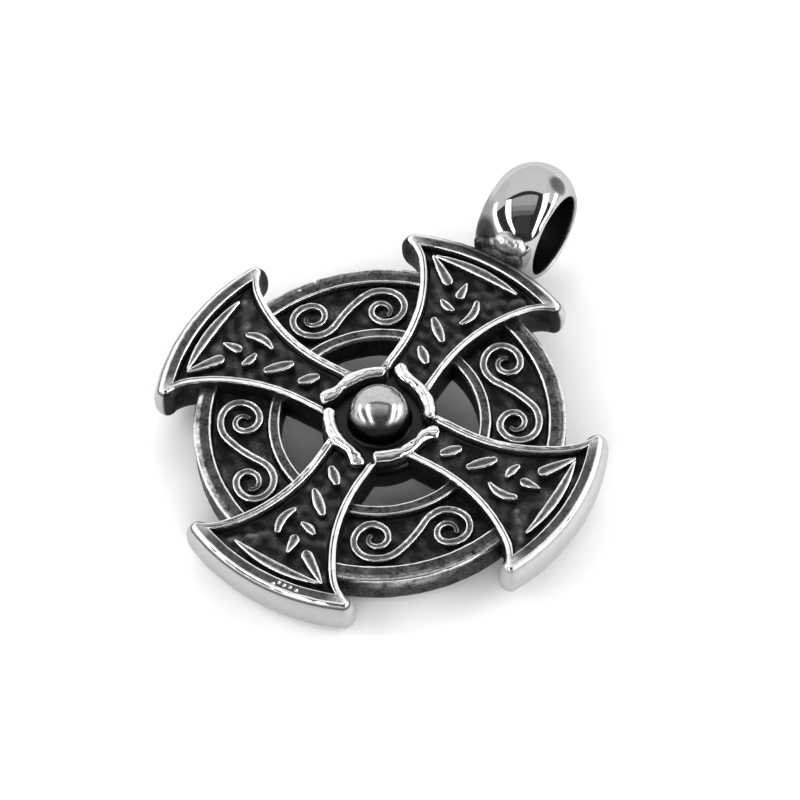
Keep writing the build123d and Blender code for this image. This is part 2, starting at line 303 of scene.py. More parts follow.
def steel(
    name, smooth, matt, patches, patchiness, speckle, grain_scale, pits, relief,
    bright=bright_steel, black=oxide_black,
):
    """Stainless steel, blackened where it wasn't rubbed bright. The polish painted on the mesh
    says where that is, and a second painted value how matt the metal stays."""
    material = bpy.data.materials.new(name)
    material.use_nodes = True
    tree = material.node_tree
    surface = tree.nodes["Principled BSDF"].inputs
    surface["Metallic"].default_value = 1.0
    surface["Specular Tint"].default_value = edge_tint
    painted = added(tree, "ShaderNodeAttribute", {}, attribute_name="polish")["Fac"]
    dulled = added(tree, "ShaderNodeAttribute", {}, attribute_name="matt")["Fac"]
    finish = {"Polish": painted, "Matt": dulled, "Patch Scale": patches}
    finish.update({"Patchiness": patchiness, "Speckle": speckle})
    shine = added(tree, "ShaderNodeGroup", finish, node_tree=tumbled)["Shine"]
    tones = {"Factor": shine, "A": (*black, 1), "B": (*bright, 1)}
    colour = added(tree, "ShaderNodeMix", tones, data_type="RGBA")["Result"]
    tree.links.new(colour, surface["Base Color"])
    smoothness = {"Value": shine, "To Min": matt, "To Max": smooth}
    roughness = added(tree, "ShaderNodeMapRange", smoothness)["Result"]
    tree.links.new(maths(tree, "ADD", roughness, dulled), surface["Roughness"])
    texture = {"Grain Scale": grain_scale, "Pits": pits}
    height = added(tree, "ShaderNodeGroup", texture, node_tree=grain)["Height"]
    bumps = {"Strength": relief, "Distance": grain_height, "Height": height}
    tree.links.new(added(tree, "ShaderNodeBump", bumps)["Normal"], surface["Normal"])
    return material


ring_steel = steel(
    "ring_steel", smooth=0.16, matt=0.5, patches=900, patchiness=0.7, speckle=0.5,
    grain_scale=4500, pits=0.6, relief=0.5,
)

# Polish on each part of the ring, from 0, black, to 1, rubbed bright.
rubbed = 1.0
edge_dimming = 0.5
worn_rim = 0.17
worn_share = 0.3
outer_rim_polish = 0.07
inner_rim_polish = 0.08
foot_polish = 0.08
wall_polish = 0.07
step_polish = 0.1
fillet_polish = 0.01
bore_polish = 0.03
back_polish = 0.5


def field_side(edge, way):
    """Rows of one side of the ring's sunk field: a rubbed lip, a leaning step and a fillet."""
    rows = [(edge - way * x, ring_top + z, rubbed) for x, z in quarter_round(rim_lip, 5)[::-1]]
    rows.append((edge - way * wall_lean, ring_floor + 2 * floor_fillet, step_polish))
    for sideways, upward in quarter_round(floor_fillet, 5):
        rows.append((edge - way * (2 * wall_lean - sideways), ring_floor - upward, fillet_polish))
    return rows


ring_section = []
for sideways, upward in quarter_round(ring_foot, 4)[::-1]:
    ring_section.append((ring_outer_radius + sideways, ring_back - upward, foot_polish))
for height in np.linspace(ring_back + 2 * ring_foot, ring_top - 2 * ring_edge, 7):
    ring_section.append((ring_outer_radius, height, wall_polish))
for sideways, upward in quarter_round(ring_edge, 9):
    slope = atan2(ring_edge + upward, ring_edge + sideways)
    shine = rubbed - edge_dimming * abs(slope / (pi / 4) - 1)
    ring_section.append((ring_outer_radius + sideways, ring_top + upward, shine))
for share in np.linspace(0.06, 0.94, 13):
    radius = ring_outer_radius - ring_edge - share * (outer_rim_width - ring_edge - rim_lip)
    shine = worn_rim if share < worn_share else outer_rim_polish
    ring_section.append((radius, ring_top - rim_hollow * sin(pi * share), shine))
ring_section += field_side(ring_field_outer, 1)
for share in np.linspace(0.08, 0.92, 30):
    ring_section.append((ring_field_outer - share * ring_field_width, ring_floor, 0.0))
ring_section += field_side(ring_field_inner, -1)[::-1]
for share in np.linspace(0.08, 0.92, 9):
    radius = ring_field_inner - rim_lip - share * (inner_rim_width - 2 * rim_lip)
    ring_section.append((radius, ring_top - rim_hollow * sin(pi * share), inner_rim_polish))
for sideways, upward in quarter_round(rim_lip, 5)[::-1]:
    ring_section.append((ring_bore_radius - sideways, ring_top + upward, rubbed))
for height in np.linspace(ring_top - bore_lip, ring_back, 6):
    ring_section.append((ring_bore_radius, height, bore_polish))
for radius in np.linspace(ring_bore_radius, ring_outer_radius - ring_foot, 8)[1:-1]:
    ring_section.append((radius, ring_back, back_polish))


def spun(section, steps):
    """Loops of a section of (radius, height, polish) spun about the middle of the cross, and
    their polish."""
    around = np.linspace(0, 2 * pi, steps, endpoint=False)
    radius, height, polish = np.array(section).T[:, :, None]
    points = np.broadcast_arrays(radius * np.cos(around), radius * np.sin(around), height)
    loops = np.stack(points, -1)
    return loops, np.broadcast_to(polish, loops.shape[:2])


def dented(points, polish, spots, radius, depth):
    """Points and polish with small dents at flat spots, sunk by a depth and rubbed bright."""
    points = points.copy()
    polish = polish.copy()
    for spot in spots:
        away = np.hypot(points[..., 0] - spot[0], points[..., 1] - spot[1]) / radius
        share = np.clip(1 - away**2, 0, 1) ** 2
        share = np.where(points[..., 2] > -thickness / 2, share, 0)
        points[..., 2] -= share * depth
        polish = np.maximum(polish, np.minimum(share * 3, 1))
    return points, polish


# Where wear marks the ring, and where a painted highlight brightens its outer lip, in degrees
# round from the right arm and in mm.
WORN_EDGE = {"middle": -52.0, "half": 4.7, "deep": 1.1}
# Painted highlight: a bright stretch of the outer lip on the left.
LIT_LIP = {"middle": 217.0, "half": 27.0, "wide": 0.5, "deep": 0.3, "shine": 0.8}
WORN_WALL = {"middle": 311.0, "half": 17.0, "down": 0.7, "tall": 0.6, "shine": 0.34}
RING_DENTS = (
    {"reach": 14.0, "around": 148.7},
    {"reach": 14.2, "around": 143.1},
)


def across_wear(wear, around):
    """How near to the middle of a worn stretch each point is, from 1 there to 0 at its ends."""
    return 1 - abs(around - wear["middle"]) / wear["half"]


loops, polish = spun(ring_section, ring_steps)
reach = np.hypot(loops[..., 0], loops[..., 1])
height = loops[..., 2]
around = np.degrees(np.arctan2(loops[..., 1], loops[..., 0]))
outside = reach > ring_outer_radius - ring_edge
wear_and_sheen = np.clip(1 - (1 - across_wear(WORN_EDGE, around)) ** 2, 0, 1) ** 0.5
high = np.clip(1 - (ring_top - height) / (WORN_EDGE["deep"] * mm), 0, 1)
polish = np.maximum(polish, wear_and_sheen * outside * high)
around = around % 360
patchy = patchwork(loops, mean=0.85, swing=0.3, grain=2.4 * mm, seed=14)
# Painted highlight on the outer lip, brightest in the middle of its stretch.
on_lit_lip = np.clip((reach - ring_outer_radius + LIT_LIP["wide"] * mm) / (0.1 * mm), 0, 1)
on_lit_lip = on_lit_lip * (height > ring_top - LIT_LIP["deep"] * mm)
wear_and_sheen = np.clip(3 * across_wear(LIT_LIP, around), 0, 1)
polish = np.maximum(polish, LIT_LIP["shine"] * wear_and_sheen * on_lit_lip * patchy)
off_wall = abs(ring_top - WORN_WALL["down"] * mm - height) / (WORN_WALL["tall"] * mm)
on_wall = np.clip(1 - off_wall, 0, 1)
wear_and_sheen = np.clip(2 * across_wear(WORN_WALL, around), 0, 1)
polish = np.maximum(polish, WORN_WALL["shine"] * wear_and_sheen * on_wall * outside)
mottled = patchwork(loops, mean=0.018, swing=0.03, grain=1.6 * mm, seed=13, most=0.08)
polish = np.maximum(polish, mottled * (abs(height - ring_floor) < 0.01 * mm))
dents = []
for dent in RING_DENTS:
    turn = radians(dent["around"])
    dents.append((dent["reach"] * mm * cos(turn), dent["reach"] * mm * sin(turn)))
loops, polish = dented(loops, polish, dents, radius=0.13 * mm, depth=0.05 * mm)
ring = shell("ring", loops, polish, joined_ends=True)
roughed(ring, depth=0.012 * mm, grain=1.3 * mm, seed=11)
ring.data.materials.append(ring_steel)
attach(ring, "root")
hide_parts("pendant")

# Four flared arms of the cross, cast over the ring. Each is a tray: a polished wall all round,
# a rim along its edge and a sunk black floor. The walls under the ring stay black, and the
# ends are rubbed bright.
arm_count = 4
quarter_turn = 2 * pi / arm_count
end_bow = 1.8 * mm
horn_length = 1.5 * mm
tip_half_width = 7.4 * mm
flare_half_width = 4.95 * mm
neck_reach = 6.0 * mm
neck_half_width = 2.2 * mm
neck_start = 2.4 * mm
side_rim_width = 0.65 * mm
end_rim_width = 1.0 * mm
corner_end_gap = 0.2 * mm
corner_side_gap = 1.75 * mm
arm_floor = -0.75 * mm
hub_floor = -0.95 * mm
hub_field_radius = 4.2 * mm
tip_round = 0.3 * mm
least_round = 0.02 * mm
pocket_round = 0.2 * mm
pocket_lean = 0.06 * mm
tip_reach = arm_reach - end_bow
flare_reach = tip_reach - horn_length
flare_slope = 2 * atan2(flare_half_width - neck_half_width, flare_reach - neck_reach)
tip_slope = 2 * atan2(tip_half_width - flare_half_width, horn_length) - flare_slope
bow_angle = 2 * atan2(end_bow, tip_half_width)
tip_corner = pi / 2 + bow_angle - tip_slope
wall_rim = 0.14 * mm
# Rows of the wall from its foot up, in mm: depth, and how far the end and the sides stand out.
WALL_ROWS = (
    (3.56, -0.50, -0.45),
    (3.56, -0.08, -0.22),
    (2.81, 0.46, -0.05),
    (1.90, 0.66, -0.03),
    (1.00, 0.62, -0.03),
    (0.40, 0.36, -0.02),
    (0.10, 0.06, -0.02),
    (0.00, -0.05, -0.05),
    (0.00, -0.14, -0.14),
)


def tangent_arc(start, end, heading, shares):
    """Points of the arc from start to end that starts along a heading, and its last heading."""
    along = end - start
    turn = 2 * (atan2(along[1], along[0]) - heading)
    radius = hypot(*along) / (2 * sin(turn / 2))
    centre = start + radius * np.array([-sin(heading), cos(heading)])
    angles = heading + turn * shares
    return centre + radius * np.stack([np.sin(angles), -np.cos(angles)], -1), heading + turn


def bowed_end(start, reach, count):
    """Points of the arm's bowed end, from one corner to its middle."""
    sagitta = reach - start[0]
    bow_radius = (sagitta**2 + start[1] ** 2) / (2 * sagitta)
    angles = asin(start[1] / bow_radius) * np.linspace(1, 0, count)
    reaches = reach - bow_radius + bow_radius * np.cos(angles)
    return np.stack([reaches, bow_radius * np.sin(angles)], -1)


# Points along each part of half a line.
neck_points = 14
waist_points = 58
horn_points = 22
corner_points = 12
bow_points = 86


def half_line(out, horn_end, corner, reach):
    """The left half of a line round an arm: neck, waist, horn, its corner and the bowed end."""
    neck = np.array([neck_reach, neck_half_width + out])
    outward = np.array([-sin(flare_slope), cos(flare_slope)])
    flare = np.array([flare_reach, flare_half_width]) + out * outward
    along_neck = np.linspace(neck_start, neck_reach, neck_points + 1)[:-1]
    straight = np.stack([along_neck, np.full(neck_points, neck[1])], -1)
    waist, heading = tangent_arc(neck, flare, 0.0, np.linspace(0, 1, waist_points + 1)[:-1])
    horn, _ = tangent_arc(flare, horn_end, heading, np.linspace(0, 1, horn_points + 1)[:-1])
    end = bowed_end(corner[-1], reach, bow_points + 1)[1:]
    return np.concatenate([straight, waist, horn, corner, end])


def mirrored(half):
    """Both halves of a line round an arm."""
    return np.concatenate([half, (half * [1, -1])[-2::-1]])


def wall_line(grow, out):
    """One line round an arm's wall, its end and tips swollen by grow and its sides moved out."""
    back = tip_round / tan(tip_corner / 2)
    side = np.array([tip_reach - back * cos(tip_slope), tip_half_width - back * sin(tip_slope)])
    centre = side + tip_round * np.array([sin(tip_slope), -cos(tip_slope)])
    turns = np.linspace(tip_slope + pi / 2, bow_angle, corner_points)
    nose = max(tip_round + grow, least_round)
    corner = centre + nose * np.stack([np.cos(turns), np.sin(turns)], -1)
    return mirrored(half_line(out, corner[0], corner, arm_reach + grow))


def pocket_line(grow):
    """One line round an arm's tray, with nearly sharp outer corners."""
    tip = np.array([tip_reach - corner_end_gap, tip_half_width - corner_side_gap + grow])
    horn_end = tip - pocket_round * np.array([cos(tip_slope), sin(tip_slope)])
    bow_start = tip + pocket_round * np.array([sin(bow_angle), -cos(bow_angle)])
    blend = np.linspace(0, 1, corner_points)[:, None]
    corner = (1 - blend) ** 2 * horn_end + 2 * blend * (1 - blend) * tip + blend**2 * bow_start
    end_reach = arm_reach - end_rim_width + grow
    return mirrored(half_line(grow - side_rim_width, corner[0], corner, end_reach))


# Which points of a line are on the arm's end, on the nose of its corners, and near its tips.
arm_points = 2 * (neck_points + waist_points + horn_points + corner_points + bow_points) - 1
end_start = neck_points + waist_points + horn_points
end_stop = arm_points - end_start
nose_points = 5
horn_delay = 4
tip_points = 13
on_end = np.zeros(arm_points)
on_end[end_start:end_stop] = 1.0
on_nose = on_end.copy()
on_nose[end_start + nose_points : end_stop - nose_points] = 0.0
spot = np.minimum(np.arange(arm_points), np.arange(arm_points)[::-1])
towards_end = (spot - neck_points - waist_points - horn_delay) / (horn_points + corner_points)
towards_end = np.clip(towards_end, 0, 1)
near_tip = np.exp(-(((spot - end_start - corner_points / 2) / tip_points) ** 2))


def level(line, height):
    """A flat line at a height, or at a height for each of its points."""
    return np.concatenate([line, np.broadcast_to(height, len(line))[:, None]], -1)


def coons(first, last, left, right):
    """Rows of points that fill the space between four lines: first and last run across, left and
    right run along."""
    across = np.linspace(0, 1, len(first))[None, :, None]
    along = np.linspace(0, 1, len(left))[:, None, None]
    ruled = (1 - along) * first[None] + along * last[None]
    ruled = ruled + (1 - across) * left[:, None] + across * right[:, None]
    corners = (1 - along) * ((1 - across) * first[0] + across * first[-1])
    corners = corners + along * ((1 - across) * last[0] + across * last[-1])
    return ruled - corners


arm_loops = []
arm_marks = []


def arm_loop(line, height, polish, matt=0.0, shaded_band=0.0, shoulder=0.0, nose=0.0):
    """Adds one line of the arm's section with its marks: its polish, how matt its end was left,
    and how much of the end is in the band of painted shade, on the shoulder or on the corners'
    noses, where painted shade falls too."""
    arm_loops.append(level(line, height))
    arm_marks.append([polish, matt * on_end, shaded_band * on_end, shoulder * on_end, nose * on_nose])


def towards(on_sides, on_ends, share):
    """A value for each point of a line, from that of the arm's sides to that of its end."""
    return on_sides + (on_ends - on_sides) * share


def corners_cut(rows):
    """The rows of a section with each corner between them cut off."""
    near, far = 0.75, 0.25
    first = rows[:-1] * near + rows[1:] * far
    last = rows[:-1] * far + rows[1:] * near
    cut = np.stack([first, last], 1).reshape(-1, rows.shape[1])
    cut[0] = rows[0]
    cut[-1] = rows[-1]
    return cut


# The wall, from its foot to its bright upper edge. Depths are in mm.
# Painted shade on the end walls: a dark band just under the bright edge, and a darkened foot that
# is a painted contact shadow.
bright_edge = {"depth": 0.19, "fade": 0.07}
shade_band_place = {"depth": 0.27, "half": 0.1, "sharpness": 1.4}
foot_shade = {"depth": 2.9, "fade": 0.5}
side_wall_polish = 0.04
end_wall_polish = 0.6
shaded_foot_polish = 0.15
end_wall_matt = 0.34
for depth, end, sides in corners_cut(corners_cut(np.array(WALL_ROWS))):
    in_foot_shade = np.clip((depth - foot_shade["depth"]) / foot_shade["fade"], 0, 1)
    edge = np.clip((bright_edge["depth"] - depth) / bright_edge["fade"], 0, 1)
    below = 1 - edge
    shaded_band = 1 - abs(depth - shade_band_place["depth"]) / shade_band_place["half"]
    shaded_band = np.clip(shade_band_place["sharpness"] * shaded_band, 0, 1)
    on_sides = side_wall_polish + (rubbed - side_wall_polish) * edge
    on_ends = end_wall_polish + (shaded_foot_polish - end_wall_polish) * in_foot_shade
    on_ends = on_ends * below + rubbed * edge
    arm_loop(
        wall_line(end * mm, sides * mm),
        -depth * mm,
        towards(on_sides, on_ends, on_end),
        matt=end_wall_matt * below,
        shaded_band=shaded_band * below,
        nose=below,
    )
# The rim: two fine bright lines with a low valley between them along the sides, the valley
# darkened by a painted dark reflection, and a flat satin band with a bright outer edge along
# the end.
valley_place = 0.74
valley_half = 0.16
valley_depth = 0.09 * mm
valley_shade = 0.96
rim_fall = 0.05 * mm
edge_share = 0.14
end_rim_polish = 0.09
tip_rim_polish = 0.42
rim_outer = wall_line(-wall_rim, -wall_rim)
rim_inner = pocket_line(pocket_lean + rim_lip)
for share in np.linspace(0, 1, 17)[1:-1]:
    # Painted dark reflection along the valley of the side rims.
    valley = max(0.0, 1 - ((share - valley_place) / valley_half) ** 2)
    side_height = -valley_depth * valley - rim_fall * share
    end_height = -rim_fall * sin(pi * share) ** 0.5
    edge = max(0.0, 1 - share / edge_share)
    end_shine = end_rim_polish + (rubbed - end_rim_polish) * edge
    end_shine = end_shine + tip_rim_polish * near_tip * (1 - edge)
    arm_loop(
        rim_outer + share * (rim_inner - rim_outer),
        towards(side_height, end_height, towards_end),
        towards(rubbed - valley_shade * valley, end_shine, towards_end),
        shoulder=edge * (1 - near_tip),
    )
for sideways, upward in quarter_round(rim_lip, 5)[::-1]:
    lip_height = upward - rim_fall * (1 - towards_end)
    arm_loop(pocket_line(pocket_lean - sideways), lip_height, np.full(arm_points, rubbed))
# The tray's wall, down to the fillet round its floor.
tray_wall_polish = 0.2
for share in np.linspace(0, 1, 5)[1:-1]:
    height = -rim_lip + share * (arm_floor + floor_fillet + rim_lip)
    polish = np.full(arm_points, tray_wall_polish * (1 - share))
    arm_loop(pocket_line(pocket_lean * (1 - 2 * share)), height, polish)
for angle in np.linspace(0, pi / 2, 6):
    inward = -pocket_lean - floor_fillet * (1 - cos(angle))
    height = arm_floor + floor_fillet * (1 - sin(angle))
    arm_loop(pocket_line(inward), height, np.full(arm_points, fillet_polish))
arm_loops = np.array(arm_loops)
arm_polish, arm_matt, *end_shade_marks = np.array(arm_marks).transpose(1, 0, 2)


def tray(edge):
    """Rows of points that fill a line round the arm, from its neck to its end."""
    left = edge[: end_start + 1]
    right = edge[: end_stop - 2 : -1]
    last = edge[end_start:end_stop]
    across = np.linspace(0, 1, len(last))[:, None]
    first = edge[0] + across * (edge[-1] - edge[0])
    return coons(first, last, left, right)


# The rounded nose where an arm's rims end at the hub.
nose_radius = 4.75 * mm
nose_length = 0.6 * mm
nose_top = 0.02 * mm
nose_foot = hub_floor - 0.1 * mm


def hub_cap(points):
    """Brings what stands high near the hub down to a rounded nose."""
    reach = np.hypot(points[..., 0], points[..., 1])
    share = np.clip((nose_radius - reach) / nose_length, 0, 1)
    top = nose_foot + (nose_top - nose_foot) * np.sqrt(1 - share**2)
    capped = points.copy()
    capped[..., 2] = np.where(share > 0, np.minimum(points[..., 2], top), points[..., 2])
    return capped


arm_steel = steel(
    "arm_steel", smooth=0.13, matt=0.5, patches=1100, patchiness=0.45, speckle=0.3,
    grain_scale=4500, pits=0.4, relief=0.3,
)
# A row of dents on the end of the lower arm, and a soft ridge in each tray's floor, in mm.
END_DENTS = ((16.94, 1.15), (16.64, 1.49), (16.66, 1.95), (16.58, 2.43), (16.57, 2.96))
SOFT_RIDGE = {
    "first": (13.45, -1.9), "last": (15.0, -3.9), "half_width": 0.42, "height": 0.2, "shine": 0.17,
}
# Painted shade on each arm's end: how much it darkens the dark band, the shoulder and the
# corners' noses, set arm by arm by how each end faces the light and the camera.
END_SHADE = {
    "arm_right": (0.2, 0.93, 0.0),
    "arm_top": (0.78, 0.5, 0.92),
    "arm_left": (0.78, 0.0, 0.92),
    "arm_bottom": (0.78, 0.0, 0.0),
}
# Darkening of the end of the top arm where the bail joins it, in mm.
TOP_END_DARKENING = {"half_width": 4.2, "reach": 16.5, "fade": 0.3, "depth": 0.6, "black": 0.86}


def beside(points, first, last):
    """How far each point lies from a straight line between two flat places."""
    along = last - first
    share = np.clip(((points[..., :2] - first) @ along) / (along @ along), 0, 1)
    nearest = first + share[..., None] * along
    return np.hypot(points[..., 0] - nearest[..., 0], points[..., 1] - nearest[..., 1])


arm_floor_rows = tray(arm_loops[-1])
ridge_ends = np.array([SOFT_RIDGE["first"], SOFT_RIDGE["last"]]) * mm
ridge = np.exp(-((beside(arm_floor_rows, *ridge_ends) / (SOFT_RIDGE["half_width"] * mm)) ** 2))
for number, (name, end_shades) in enumerate(END_SHADE.items()):
    angle = number * quarter_turn
    dents = np.array(END_DENTS) * mm if name == "arm_bottom" else ()
    loops, polish = dented(arm_loops, arm_polish, dents, radius=0.18 * mm, depth=0.08 * mm)
    # Painted shade on the arm's end, as strong as said for this arm.
    for black, mark in zip(end_shades, end_shade_marks):
        polish = polish * (1 - black * mark)
    floor_rows = arm_floor_rows.copy()
    lumps = unevenness(floor_rows, 1.1 * mm, 20 + number) * 0.03 * mm
    lumps += ridge * SOFT_RIDGE["height"] * mm
    floor_rows[1:-1, 1:-1, 2] += lumps[1:-1, 1:-1]
    mottled = patchwork(
        floor_rows, mean=0.027, swing=0.042, grain=1.4 * mm, seed=40 + number, most=0.11
    )
    patchy = patchwork(floor_rows, mean=0.6, swing=0.4, grain=1.0 * mm, seed=45 + number)
    mottled = np.maximum(mottled, SOFT_RIDGE["shine"] * ridge**2 * patchy)
    if name == "arm_top":
        top_darkening = np.exp(-((loops[..., 1] / (TOP_END_DARKENING["half_width"] * mm)) ** 4))
        top_darkening = top_darkening * np.clip((loops[..., 0] - TOP_END_DARKENING["reach"] * mm) / (TOP_END_DARKENING["fade"] * mm), 0, 1)
        polish = polish * (1 - TOP_END_DARKENING["black"] * top_darkening * (loops[..., 2] > -TOP_END_DARKENING["depth"] * mm))
    arm = shell(
        name,
        turned_about(hub_cap(loops), angle),
        polish,
        round_loops=False,
        extra=[(turned_about(hub_cap(floor_rows), angle), mottled)],
        flat_first=True,
        matt=arm_matt,
    )
    roughed(arm, depth=0.012 * mm, grain=1.2 * mm, seed=30 + number)
    arm.data.materials.append(arm_steel)
    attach(arm, "root")
    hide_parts("pendant")

# Scrolls of the ring, one between each pair of arms: an S of raised wire with a curl at each
# end, cast with the ring. Its top is dished, with both edges rubbed bright.
scroll_half_width = 0.295 * mm
scroll_tip_width = 0.2 * mm
scroll_height = 0.6 * mm
scroll_crown = 0.1 * mm
scroll_dish = 0.1 * mm
scroll_polish = 0.13
scroll_heading = radians(38.0)
stem_share = 0.36
taper_start = 0.6 * mm
taper_length = 4.0 * mm
fade_start = 0.5 * mm
fade_length = 1.2 * mm
tip_fade = 0.25
tip_round_radius = 0.2 * mm
# Shares of a scroll's height: all along it, gained past its dull tips and gained to its stem.
least_rise = 0.45
curl_rise = 0.25
stem_rise = 0.3
stem_points = 18
curl_points = 25
# Arcs of one half, from its stem to its curl: radius as a share of the field's width, and turn.
SCROLL_ARCS = (
    (0.528, 48.0),
    (0.382, 58.0),
    (0.319, 80.0),
    (0.319, 74.0),
    (0.202, 90.0),
    (0.180, 100.0),
    (0.120, 100.0),
)
root_depth = 0.25 * mm
bead_wall_polish = 0.3


def raised_bead(
    name, path, half_widths, tops, base, crown, dish, middle_shine, material, seed, fade=1.0
):
    """A raised bead along a path: upright walls, rounded edges and a dished top, round at both
    ends where its width runs out. The path has x and y, and the tops are heights."""
    ahead = np.gradient(path, axis=0)
    ahead /= np.linalg.norm(ahead, axis=1)[:, None]
    side = np.stack([-ahead[:, 1], ahead[:, 0]], -1)
    last_angle = np.arccos(np.clip(1 - half_widths / crown, 0, 1))
    offsets = [half_widths, half_widths]
    heights = [np.full(len(path), base - root_depth), tops - crown]
    shine = [0.0, bead_wall_polish]
    for share in np.linspace(0, 1, 7)[1:]:
        angle = last_angle * share
        offsets.append(half_widths - crown * (1 - np.cos(angle)))
        heights.append(tops - crown + crown * np.sin(angle))
        shine.append(rubbed)
    crest = heights[-1]
    inner = half_widths - np.minimum(crown, half_widths)
    nothing = 1e-12
    flat = np.sqrt(inner / (inner.max() + nothing))
    for share in (0.85, 0.65, 0.4, 0.0):
        offsets.append(inner * share)
        heights.append(crest - dish * flat * cos(share * pi / 2))
        shine.append(middle_shine + (rubbed - middle_shine) * share**4)
    offsets = np.array(offsets + [-row for row in offsets[-2::-1]])
    heights = np.array(heights + heights[-2::-1])
    shine = np.array(shine + shine[-2::-1])
    points = path[None] + offsets[..., None] * side[None]
    loops = np.concatenate([points, heights[..., None]], -1).transpose(1, 0, 2)
    shine = np.broadcast_to(fade, len(path))[:, None] * shine[None]
    piece = shell(name, loops, shine)
    roughed(piece, depth=0.012 * mm, grain=0.8 * mm, seed=seed)
    piece.data.materials.append(material)
    return piece


def distances(path):
    """How far along a path each of its points is."""
    return np.concatenate([[0], np.cumsum(np.hypot(*np.diff(path, axis=0).T))])


def round_ends(distance, length, first, last):
    """Share of the full width at each distance along a bead with round ends of two radii."""
    start = np.clip(1 - distance / first, 0, 1)
    stop = np.clip(1 - (length - distance) / last, 0, 1)
    return np.sqrt(1 - start**2) * np.sqrt(1 - stop**2)


def scroll_path():
    """Flat points of a scroll about the middle of its stem."""
    heading = -scroll_heading
    stem = stem_share * ring_field_width * np.array([cos(heading), sin(heading)])
    half = [stem * share for share in np.linspace(0, 1, stem_points)]
    for width_share, sweep in SCROLL_ARCS:
        radius = width_share * ring_field_width
        turn = radians(sweep)
        centre = half[-1] + radius * np.array([-sin(heading), cos(heading)])
        for share in np.linspace(0, 1, curl_points + 1)[1:]:
            angle = heading + turn * share
            half.append(centre + radius * np.array([sin(angle), -cos(angle)]))
        heading += turn
    half = np.array(half)
    return np.concatenate([-half[:0:-1], half])


relief_steel = steel(
    "relief_steel", smooth=0.16, matt=0.45, patches=1600, patchiness=0.5, speckle=0.4,
    grain_scale=6000, pits=0.4, relief=0.3,
)
flat_scroll = scroll_path()
scroll_distance = distances(flat_scroll)
scroll_length = scroll_distance[-1]
ring_field_middle = (ring_field_outer + ring_field_inner) / 2
to_tip = np.minimum(scroll_distance, scroll_length - scroll_distance)
taper = np.clip((to_tip - taper_start) / taper_length, 0, 1) ** 0.7
curl_fade = tip_fade + (1 - tip_fade) * np.clip((to_tip - fade_start) / fade_length, 0, 1)
scroll_widths = scroll_tip_width + (scroll_half_width - scroll_tip_width) * taper
scroll_widths *= round_ends(scroll_distance, scroll_length, tip_round_radius, tip_round_radius)
scroll_rise = least_rise + curl_rise * curl_fade + stem_rise * taper
scroll_tops = ring_floor + scroll_height * scroll_rise
scroll_names = (
    "scroll_upper_right", "scroll_upper_left", "scroll_lower_left", "scroll_lower_right",
)
for number, name in enumerate(scroll_names):
    angle = quarter_turn / 2 + number * quarter_turn + flat_scroll[:, 0] / ring_field_middle
    reach = ring_field_middle + flat_scroll[:, 1]
    path = np.stack([reach * np.cos(angle), reach * np.sin(angle)], -1)
    scroll = raised_bead(
        name, path, scroll_widths, scroll_tops, ring_floor, scroll_crown, scroll_dish,
        scroll_polish, relief_steel, seed=50 + number, fade=curl_fade,
    )
    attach(scroll, "root")
    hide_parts("pendant")

# Seeds in the trays of the arms: small raised drops like grains scattered from the neck to the
# end, cast with the arm. Places are shares of the arm's reach and of the tip's half width, and
# widths and bows are shares of the neck's half width.
seed_height = 0.65 * mm
seed_crown = 0.13 * mm
seed_dish = 0.08 * mm
seed_polish = 0.1
seed_slimness = 0.87
seed_points = 48
# Each row: where the seed starts and where it ends, its widths there and in the middle, its bow.
SEEDS = (
    (0.353, -0.063, 0.396, 0.053, 0.172, 0.236, 0.172, 0.0),
    (0.489, -0.070, 0.562, 0.124, 0.150, 0.235, 0.165, 0.0),
    (0.612, -0.140, 0.738, -0.154, 0.095, 0.190, 0.140, -0.134),
    (0.655, 0.035, 0.672, 0.180, 0.110, 0.185, 0.110, 0.03),
    (0.742, 0.055, 0.808, 0.070, 0.215, 0.165, 0.065, 0.0),
    (0.782, 0.270, 0.866, 0.560, 0.240, 0.190, 0.075, 0.0),
    (0.877, -0.450, 0.875, 0.530, 0.065, 0.215, 0.065, -0.170),
)


def seed_bead(name, row, angle, seed):
    """One seed, as a short bead along a bowed line. The last value starts its random draws."""
    head = np.array([row[0] * arm_reach, row[1] * tip_half_width])
    tail = np.array([row[2] * arm_reach, row[3] * tip_half_width])
    first, middle, last = np.array(row[4:7]) * neck_half_width * seed_slimness
    bow = row[7] * neck_half_width
    between = hypot(*(tail - head))
    along = (tail - head) / between
    length = between + first + last
    distance = length * (1 - np.cos(np.linspace(0, pi, seed_points))) / 2
    share = np.clip((distance - first) / between, 0, 1)
    widths = first * (1 - share) * (1 - 2 * share) + last * share * (2 * share - 1)
    widths = widths + 4 * middle * share * (1 - share)
    widths = widths * round_ends(distance, length, first, last)
    offset = 4 * bow * share * (1 - share)
    across = np.array([-along[1], along[0]])
    path = head + (distance - first)[:, None] * along + offset[:, None] * across
    path = turned_about(level(path, 0.0), angle)[:, :2]
    tops = np.full(len(path), arm_floor + seed_height)
    return raised_bead(
        name, path, widths, tops, arm_floor, seed_crown, seed_dish, seed_polish, relief_steel,
        seed=seed,
    )


def joined(name, pieces):
    """One piece from several."""
    work = bmesh.new()
    for piece in pieces:
        work.from_mesh(piece.data)
    mesh = bpy.data.meshes.new(name)
    mesh.materials.append(pieces[0].data.materials[0])
    for piece in pieces:
        bpy.data.objects.remove(piece)
    return smooth_piece(name, work, mesh)


for number, name in enumerate(("seeds_right", "seeds_top", "seeds_left", "seeds_bottom")):
    singles = []
    for spot, row in enumerate(SEEDS):
        seed = 100 + 10 * number + spot
        singles.append(seed_bead(f"{name}_{spot}", row, number * quarter_turn, seed))
    seeds = joined(name, singles)
    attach(seeds, "root")
    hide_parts("pendant")

